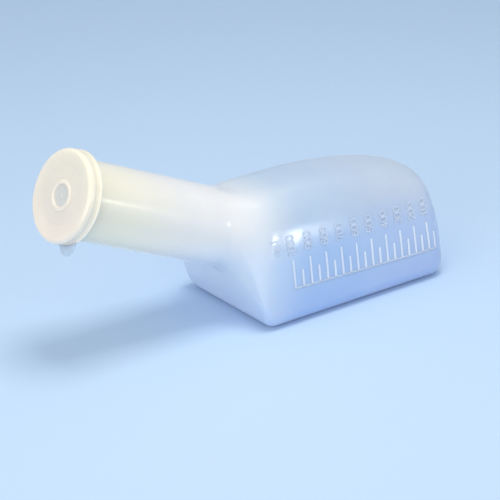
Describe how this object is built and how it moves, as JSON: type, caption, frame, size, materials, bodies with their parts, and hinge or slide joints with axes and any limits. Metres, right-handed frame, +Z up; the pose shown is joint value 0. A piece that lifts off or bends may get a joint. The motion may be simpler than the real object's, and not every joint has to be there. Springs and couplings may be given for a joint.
{
  "type": "urine bottle",
  "caption": "Hand-held urine bottle lying on its flat side, with a sloping round neck, a raised millilitre scale on one side and a push-on lid with a pull tab.",
  "frame": {"origin": "middle of the body's length, on the plane that the foot rests on", "axes": "+X from the mouth to the base end, +Z up when the bottle lies on its foot, the scale is on the -Y side"},
  "size_m": [0.3122, 0.1, 0.148],
  "materials": {
    "bottle_plastic": "milky translucent blow-moulded polyethylene, satin",
    "lid_plastic": "natural cream injection-moulded soft polyethylene, satin"
  },
  "bodies": {
    "bottle": {"bottle": "bottle_plastic"},
    "lid": {"lid": "lid_plastic"}
  },
  "joints": [
    {"name": "lid_pull", "type": "slide", "parent": "bottle", "child": "lid", "axis": [-0.9184, 0, 0.3955], "range_m": [0, 0.06]}
  ]
}
